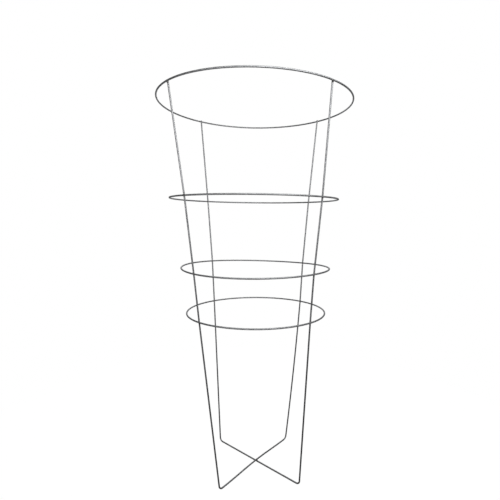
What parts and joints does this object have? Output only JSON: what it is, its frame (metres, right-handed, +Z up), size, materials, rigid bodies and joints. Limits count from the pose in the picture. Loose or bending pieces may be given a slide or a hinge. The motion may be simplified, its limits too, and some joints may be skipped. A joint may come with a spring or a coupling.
{
  "type": "tomato cage",
  "caption": "Tapered garden support of welded galvanised wire: round rings that widen upwards, held by U-shaped leg wires that cross at the base.",
  "frame": {"origin": "on the ground, under the middle of the top ring and of the whole cage's box", "axes": "+Z up, along the cage; +X to the right and +Y to the back as it is seen in the picture, with a leg in each of the four corners between them"},
  "size_m": [0.4265, 0.4274, 0.8391],
  "materials": {
    "galvanised_wire": "dull zinc coat, satin",
    "weld": "rough, burnt dark where the zinc was lost"
  },
  "bodies": {
    "root": {"top_ring": "galvanised_wire", "second_ring": "galvanised_wire", "third_ring": "galvanised_wire", "bottom_ring": "galvanised_wire", "lower_leg_wire": "galvanised_wire", "upper_leg_wire": "galvanised_wire", "top_front_left_weld": "weld", "second_front_left_weld": "weld", "third_front_left_weld": "weld", "bottom_front_left_weld": "weld", "top_back_right_weld": "weld", "second_back_right_weld": "weld", "third_back_right_weld": "weld", "bottom_back_right_weld": "weld", "top_back_left_weld": "weld", "second_back_left_weld": "weld", "third_back_left_weld": "weld", "bottom_back_left_weld": "weld", "top_front_right_weld": "weld", "second_front_right_weld": "weld", "third_front_right_weld": "weld", "bottom_front_right_weld": "weld", "rung_crossing_weld": "weld"}
  },
  "joints": []
}
